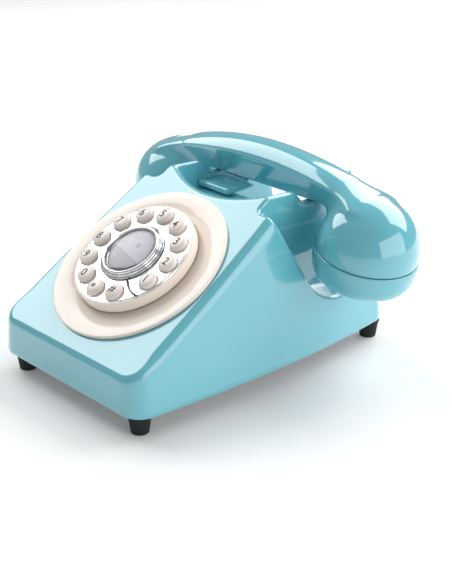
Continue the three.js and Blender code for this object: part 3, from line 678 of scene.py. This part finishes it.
def card_paper():
    """The card's print: a straight edge between two tints, a round spot, and the paper's faint mottle."""
    material = moulded_plastic("card_paper", "#D9D3E2", 0.6, peel=0.1, tone=0.02)
    nodes = material.node_tree.nodes
    links = material.node_tree.links
    place = nodes.new("ShaderNodeTexCoord")
    paper_tint = nodes["Color Ramp"].outputs["Color"]

    def under(operation, reference, limit):
        """Mask of the places whose distance from, or product with, the reference is under the limit."""
        measure = nodes.new("ShaderNodeVectorMath")
        measure.operation = operation
        measure.inputs[1].default_value = reference
        links.new(place.outputs["Object"], measure.inputs[0])
        test = nodes.new("ShaderNodeMath")
        test.operation = "LESS_THAN"
        test.inputs[1].default_value = limit
        links.new(measure.outputs["Value"], test.inputs[0])
        return test.outputs["Value"]

    def print_over(below, mask, colour):
        mix = nodes.new("ShaderNodeMix")
        mix.data_type = "RGBA"
        mix.inputs["B"].default_value = linear(colour)
        links.new(mask, mix.inputs["Factor"])
        links.new(below, mix.inputs["A"])
        return mix.outputs["Result"]

    slant = np.array([0.25, math.cos(PANEL_SLOPE), math.sin(PANEL_SLOPE)])
    line = float(slant @ on_dial([[0, -3, FACE_Z]])[0] * MM)
    spot = on_dial([[0.5, 5.5, FACE_Z + 0.9]])[0] * MM
    tinted = print_over(paper_tint, under("DOT_PRODUCT", slant, line), "#A9A5B0")
    spotted = print_over(tinted, under("DISTANCE", spot, SPOT_RADIUS * MM), "#9C98A6")
    links.new(spotted, nodes["Principled BSDF"].inputs["Base Color"])
    return material


card_profile = [[0, HUB_Z], [CARD_RADIUS, HUB_Z], [CARD_RADIUS, HUB_Z + 0.6], [0, HUB_Z + 0.6]]
dial_piece("number_card_print", card_profile, 96, card_paper(), "number_card")


def clear_plastic(name):
    """Clear acrylic: it bends light a little and its polish is very slightly uneven."""
    material = moulded_plastic(name, "#FBFCFF", 0.03, peel=0.01, tone=0.005)
    material.node_tree.nodes["Principled BSDF"].inputs["Transmission Weight"].default_value = 1.0
    material.node_tree.nodes["Principled BSDF"].inputs["IOR"].default_value = 1.49
    return material


LENS_WALL = 0.7
lens_rise = np.linspace(math.pi / 2, 0, 20)
lens_dome = np.stack([CARD_RADIUS * np.sin(lens_rise), HUB_Z + 2.0 + 1.8 * np.cos(lens_rise)], -1)
lens_hollow = (lens_dome * [(CARD_RADIUS - LENS_WALL) / CARD_RADIUS, 1] - [0, LENS_WALL])[::-1]
lens_foot = [[CARD_RADIUS - LENS_WALL, HUB_Z + 1.0], [CARD_RADIUS, HUB_Z + 1.0]]
lens_profile = np.concatenate([lens_hollow, lens_foot, lens_dome])
dial_piece("hub_lens_dome", lens_profile, 96, clear_plastic("clear_acrylic"), "hub_lens")

# Hook paddle. A flat turquoise paddle on an upright stem. The handle's weight holds its toe down, and it
# springs up when the handset is lifted. All its edges are rounded.


def rounded_box(low, high, radius, rows=24):
    """A box with round edges: points of a small ball, pushed out to the box's eight corners."""
    low, high = np.array(low, float) + radius, np.array(high, float) - radius
    polar = (np.arange(rows) + 0.5) * math.pi / rows
    angle = (np.arange(2 * rows) + 0.5) * math.pi / rows
    t, a = np.meshgrid(polar, angle, indexing="ij")
    ball = np.stack([np.sin(t) * np.cos(a), np.sin(t) * np.sin(a), -np.cos(t)], -1)
    points = np.where(ball > 0, high, low) + radius * ball
    numbers = np.arange(points.shape[0] * points.shape[1]).reshape(points.shape[:2])
    faces = [*quads(numbers, wrap=True), numbers[0][::-1], numbers[-1]]
    return points.reshape(-1, 3), faces


def grouped(*shells):
    """Several closed shells as one list of points and faces."""
    points, faces, count = [], [], 0
    for shell_points, shell_faces in shells:
        points.append(shell_points)
        faces += [tuple(int(n) + count for n in face) for face in shell_faces]
        count += len(shell_points)
    return np.concatenate(points), faces


blade = rounded_box([-38, 32, SHELF_Z + 1.4], [-9, 56, SHELF_Z + 3.8], 0.9)
front_bead = rounded_box([-38, 32, SHELF_Z + 1.2], [-9, 37.5, SHELF_Z + 5.2], 1.3)
toe = rounded_box([-34, 52.5, SHELF_Z + 1.4], [-13, 56, SADDLE_Z], 0.9)
stem = rounded_box([-27, 35, 34.5], [-20, 41, SHELF_Z + 2.5], 0.6)
paddle_points, paddle_faces = grouped(blade, front_bead, toe, stem)
paddle = mesh_piece(
    "hook_paddle_moulding", paddle_points, paddle_faces, "hook", shell_plastic, "hook_paddle"
)

# Handset. One glossy turquoise moulding: a handle with a domed back and slanting cheeks that meet in a
# crisp edge, swelling at each end into a half ball. Its screwed caps close the balls from below.
CUP_X = 87.8
CUP_Z = 79.8
CUP_TILT = math.radians(12)
SEAM_RADIUS = 32.3
BALL_RISE = 3.1
HANDLE_FOOT_Z = 104
HANDLE_FOOT_HALF = 8
HANDLE_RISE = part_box("handset_body")[1][2] / MM - HANDLE_FOOT_Z
RIDGE_RISE = 19.8
RIDGE_HALF = 15
HANDLE_ARC = 262
HANDLE_END = 92
DIVE_START = 66
DIVE = 0.012
LEAST_SQUASH = 0.22
MELT = 10
SEAM_INSET = 0.012


def handset_field(x, y, z):
    """Signed distance to the handset: an arched bar melted into a ball at each end."""
    x = np.abs(x)
    across = np.abs(y - HANDLE_Y)
    arc = HANDLE_ARC - np.sqrt(HANDLE_ARC ** 2 - np.minimum(x, 120) ** 2)
    sag = arc + DIVE * np.maximum(x - DIVE_START, 0) ** 2
    squash = np.maximum(1 - sag / HANDLE_RISE, LEAST_SQUASH)
    up = (z - HANDLE_FOOT_Z) / squash
    crest = HANDLE_RISE - RIDGE_RISE
    back_radius = (RIDGE_HALF ** 2 + crest ** 2) / (2 * crest)
    back = (np.hypot(across, up - HANDLE_RISE + back_radius) - back_radius) * squash
    cheek = beyond(across, up, RIDGE_HALF, RIDGE_RISE, HANDLE_FOOT_HALF, 0)
    bar = rounded(rounded(back, cheek, 1.2), HANDLE_FOOT_Z - z, 2)
    bar = rounded(bar, x - HANDLE_END, 5)
    centre_x = CUP_X + BALL_RISE * math.sin(CUP_TILT)
    centre_z = CUP_Z + BALL_RISE * math.cos(CUP_TILT)
    away = np.sqrt((x - centre_x) ** 2 + across ** 2 + (z - centre_z) ** 2)
    ball = away - math.hypot(SEAM_RADIUS, BALL_RISE) + 0.1
    return -rounded(-bar, -ball, MELT)


def make_handset():
    """Rays in planes: a fan beside each cup, from its seam up, then planes square to the handle."""
    turn_x = 50
    turn_z = CUP_Z + (CUP_X - turn_x) * math.tan(CUP_TILT)
    tilt = np.radians(np.linspace(-math.degrees(CUP_TILT) + 0.3, 90, 74))
    swing = (tilt - tilt[0]) / (tilt[-1] - tilt[0])
    reach = math.hypot(CUP_X - turn_x, turn_z - CUP_Z) * (1 - swing) + (116 - turn_z) * swing
    out = np.stack([np.cos(tilt), 0 * tilt, np.sin(tilt)], -1)
    centre = np.array([turn_x, HANDLE_Y, turn_z]) + reach[:, None] * out
    bar_x = np.linspace(turn_x, -turn_x, 60)[1:-1]
    bar_centre = np.stack([bar_x, 0 * bar_x + HANDLE_Y, 0 * bar_x + 116], -1)
    flip = np.array([-1, 1, 1])
    centres = np.concatenate([centre, bar_centre, (centre * flip)[::-1]])
    outs = np.concatenate([out, np.broadcast_to([0.0, 0, 1], bar_centre.shape), (out * flip)[::-1]])
    angle = np.arange(128) * 2 * math.pi / 128
    ways = outs[:, None] * np.cos(angle)[:, None] + np.array([0, 1, 0]) * np.sin(angle)[:, None]
    origins = np.broadcast_to(centres[:, None], ways.shape)
    rings = first_exit(handset_field, origins.reshape(-1, 3), ways.reshape(-1, 3), 48).reshape(ways.shape)
    seams = rings[[0, -1]]
    seams = seams + (centres[[0, -1]][:, None] - seams) * SEAM_INSET
    rings = np.concatenate([seams[:1], rings, seams[1:]])
    numbers = np.arange(rings.shape[0] * rings.shape[1]).reshape(rings.shape[:2])
    faces = [*quads(numbers, wrap=True), numbers[0][::-1], numbers[-1]]
    return rings.reshape(-1, 3), faces


handset_points, handset_faces = make_handset()
handset = mesh_piece(
    "handset_moulding", handset_points, handset_faces, "handset", shell_plastic, "handset_body"
)

# Caps. A bowl-shaped cap screws over the receiver and another over the microphone. Each is turquoise
# like the handset, meets it in a fine groove, and has a ring of round sound holes in its face.
CAP_HEIGHT = 22.9
CAP_RADIUS = 33.2
ROUNDNESS = 0.54
CAP_DROP = 0.9
HOLE_CIRCLE = 8
HOLE_RADIUS = 1.2
HOLE_DEPTH = 2.4


def at_cup(points, side):
    """Points of a cup's own frame, where -Z is where its cap faces, in the telephone's frame."""
    x, y, z = np.asarray(points, float).T
    c, s = math.cos(CUP_TILT), math.sin(CUP_TILT) * side
    return np.stack([x * c + z * s + side * CUP_X, y + HANDLE_Y, z * c - x * s + CUP_Z], -1)


def make_cap(holes):
    """A super-ellipse turned about the axis, from the hole-pierced middle out and up to the seam."""
    spread = np.concatenate([np.linspace(0, 0.42, 56)[1:], np.linspace(0.42, 1, 48)[1:]])
    t = np.arcsin(spread ** (1 / ROUNDNESS))
    t[spread > 0.9] = np.linspace(t[spread > 0.9][0], math.pi / 2, (spread > 0.9).sum())
    radius = CAP_RADIUS * np.sin(t) ** ROUNDNESS
    depth = CAP_DROP + (CAP_HEIGHT - CAP_DROP) * np.cos(t) ** ROUNDNESS
    angle = np.arange(144) * 2 * math.pi / 144
    x, y = radius[:, None] * np.cos(angle), radius[:, None] * np.sin(angle)
    bearings = np.arange(holes) * 2 * math.pi / holes
    places = [(HOLE_CIRCLE * math.cos(a), HOLE_CIRCLE * math.sin(a)) for a in bearings]
    in_hole, x, y = inside(x, y, places, HOLE_RADIUS)
    bowl = np.stack([x, y, np.where(in_hole, HOLE_DEPTH, 0) - depth[:, None]], -1)
    groove = ((0.996, 0.45), (0.987, 0.2), (0.975, 0.3))
    shoulder = [bowl[-1:] * [share, share, 0] - [0, 0, drop] for share, drop in groove]
    points = np.concatenate([bowl, *shoulder])
    numbers = np.arange(points.shape[0] * points.shape[1]).reshape(points.shape[:2])
    faces = [*quads(numbers, wrap=True), numbers[0][::-1], numbers[-1]]
    return points.reshape(-1, 3), faces


for node, side, holes in (("ear_cap", 1, 5), ("mouth_cap", -1, 6)):
    cap_points, cap_faces = make_cap(holes)
    cap = mesh_piece(f"{node}_moulding", at_cup(cap_points, side), cap_faces, "handset", shell_plastic, node)

# Openings in the shells. Each modular socket and the ringer switch shows through a square-cut opening
# moulded in the wall in front of it.


def opened(shell, name, centre, size):
    """Cuts a square opening through a shell: the shell less a box of that centre and size."""
    half = np.array(size) / 2
    points, faces = rounded_box(np.array(centre) - half, np.array(centre) + half, 0.3, 8)
    mesh = bpy.data.meshes.new(name)
    mesh.from_pydata((points * MM).tolist(), [], [tuple(int(n) for n in face) for face in faces])
    cutter = bpy.data.objects.new(name, mesh)
    whole = bpy.data.objects.new(f"{name}_whole", shell.data)
    for thing in (cutter, whole):
        bpy.context.scene.collection.objects.link(thing)
    cut = whole.modifiers.new(name, "BOOLEAN")
    cut.operation = "DIFFERENCE"
    cut.solver = "EXACT"
    cut.object = cutter
    bpy.context.view_layer.update()
    graph = bpy.context.evaluated_depsgraph_get()
    shell.data = bpy.data.meshes.new_from_object(whole.evaluated_get(graph), depsgraph=graph)
    shell.data.set_sharp_from_angle(angle=math.radians(50))
    bpy.data.objects.remove(whole)
    bpy.data.objects.remove(cutter)


SOCKET_GAP = 0.25
CUT_LENGTH = 30


def socket_opening(shell, node, through):
    """Opens a shell round a socket's block, with a gap on each side, right through along one axis."""
    low, high = (np.array(v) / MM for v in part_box(node))
    size = high - low + 2 * SOCKET_GAP
    size[through] = CUT_LENGTH
    opened(shell, f"{node}_opening", (low + high) / 2, size)


socket_opening(upper_case, "line_socket", 1)
socket_opening(upper_case, "base_socket", 0)
socket_opening(handset, "handset_socket", 1)
switch_low, switch_high = (np.array(v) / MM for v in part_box("ringer_switch"))
switch_x = (switch_low[0] + switch_high[0]) / 2
SLOT_Y = 109
SLOT_Z = 30
SLOT_SIZE = [12, 12, 4.4]
opened(upper_case, "switch_slot", [switch_x, SLOT_Y, SLOT_Z], SLOT_SIZE)
